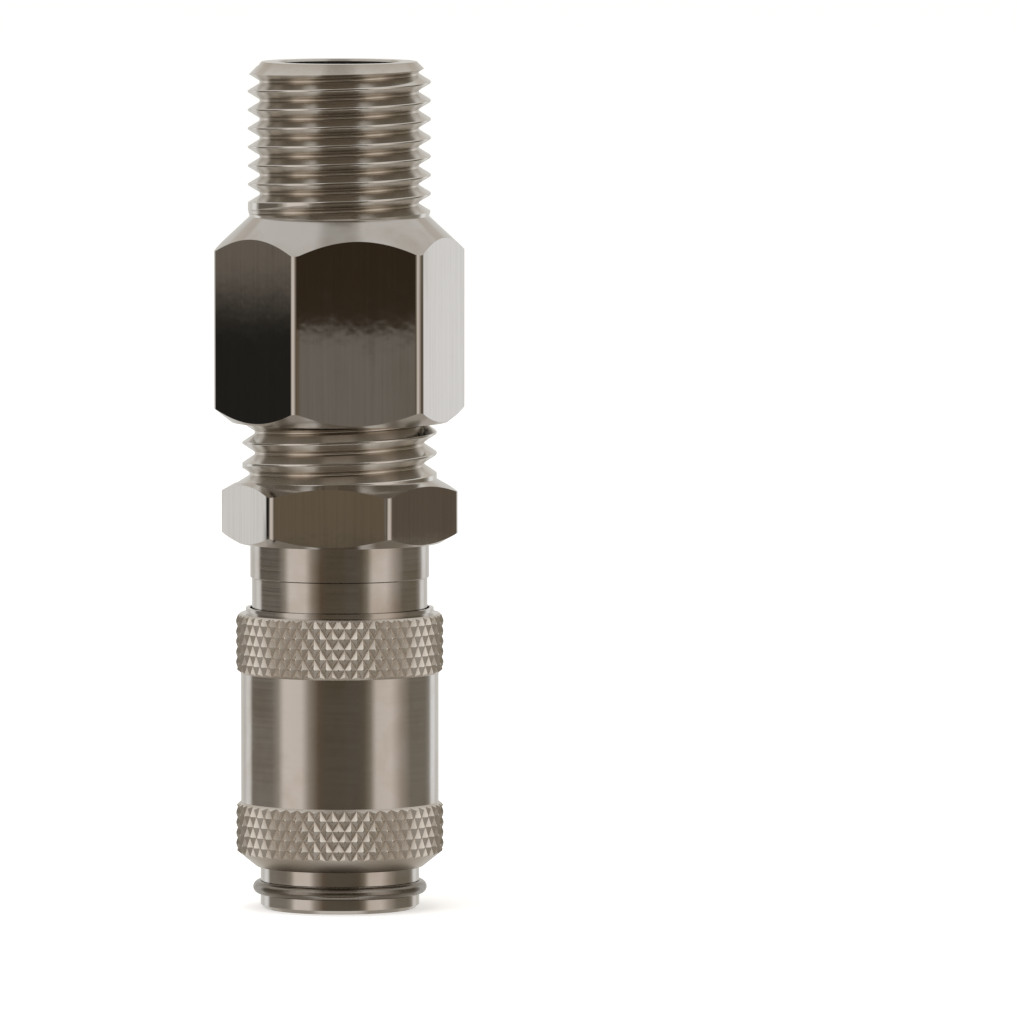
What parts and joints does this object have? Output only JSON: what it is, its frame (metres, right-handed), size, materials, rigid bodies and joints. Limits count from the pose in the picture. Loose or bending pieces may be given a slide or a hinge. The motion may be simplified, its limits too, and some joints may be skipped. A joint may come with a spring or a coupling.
{
  "type": "pneumatic quick coupling",
  "caption": "Nickel-plated quick coupling socket for compressed air: knurled sliding sleeve with ball lock, shut-off valve, hexagon body and a hexagon adapter with a male pipe thread.",
  "frame": {"origin": "on the axis, at the flat end of the nose, where the plug goes in", "axes": "+Z along the coupling's axis, from the plug socket's mouth up to the pipe thread"},
  "size_m": [0.0182, 0.0174, 0.061],
  "materials": {
    "nickel_plated_brass": "bright turned nickel plate",
    "spring_steel": "drawn wire",
    "ball_steel": "polished",
    "valve_brass": "turned",
    "seal_rubber": "matt moulded"
  },
  "bodies": {
    "housing": {"adapter": "nickel_plated_brass", "adapter_gasket": "seal_rubber", "connector": "nickel_plated_brass", "barrel_gasket": "seal_rubber", "barrel": "nickel_plated_brass", "snap_ring": "spring_steel", "plug_seal": "seal_rubber", "valve_spring": "spring_steel"},
    "sleeve_spring": {"sleeve_spring": "spring_steel"},
    "sleeve": {"sleeve": "nickel_plated_brass"},
    "valve": {"valve": "valve_brass", "valve_seal": "seal_rubber"},
    "ball_1": {"ball_1": "ball_steel"},
    "ball_2": {"ball_2": "ball_steel"},
    "ball_3": {"ball_3": "ball_steel"},
    "ball_4": {"ball_4": "ball_steel"},
    "ball_5": {"ball_5": "ball_steel"},
    "ball_6": {"ball_6": "ball_steel"}
  },
  "joints": [
    {"name": "sleeve_turn", "type": "hinge", "parent": "housing", "child": "sleeve_spring", "pos_m": [0, 0, 0.01749], "axis": [0, 0, 1], "continuous": true},
    {"name": "sleeve_slide", "type": "slide", "parent": "sleeve_spring", "child": "sleeve", "axis": [0, 0, 1], "range_m": [-0.0008, 0.002], "stiffness_N_per_m": 3000, "deforming": ["sleeve_spring"]},
    {"name": "valve_slide", "type": "slide", "parent": "housing", "child": "valve", "axis": [0, 0, 1], "range_m": [0, 0.002], "stiffness_N_per_m": 500, "springref_m": -0.002, "deforming": ["valve_spring"]},
    {"name": "ball_1_slide", "type": "slide", "parent": "housing", "child": "ball_1", "axis": [0.866, 0.5, 0], "range_m": [-0.00017, 0.00041]},
    {"name": "ball_2_slide", "type": "slide", "parent": "housing", "child": "ball_2", "axis": [0, 1, 0], "range_m": [-0.00017, 0.00041]},
    {"name": "ball_3_slide", "type": "slide", "parent": "housing", "child": "ball_3", "axis": [-0.866, 0.5, 0], "range_m": [-0.00017, 0.00041]},
    {"name": "ball_4_slide", "type": "slide", "parent": "housing", "child": "ball_4", "axis": [-0.866, -0.5, 0], "range_m": [-0.00017, 0.00041]},
    {"name": "ball_5_slide", "type": "slide", "parent": "housing", "child": "ball_5", "axis": [0, -1, 0], "range_m": [-0.00017, 0.00041]},
    {"name": "ball_6_slide", "type": "slide", "parent": "housing", "child": "ball_6", "axis": [0.866, -0.5, 0], "range_m": [-0.00017, 0.00041]}
  ],
  "couplings": [
    {"joint": "ball_1_slide", "follows": "sleeve_slide", "ratio": 0.2},
    {"joint": "ball_2_slide", "follows": "sleeve_slide", "ratio": 0.2},
    {"joint": "ball_3_slide", "follows": "sleeve_slide", "ratio": 0.2},
    {"joint": "ball_4_slide", "follows": "sleeve_slide", "ratio": 0.2},
    {"joint": "ball_5_slide", "follows": "sleeve_slide", "ratio": 0.2},
    {"joint": "ball_6_slide", "follows": "sleeve_slide", "ratio": 0.2}
  ]
}
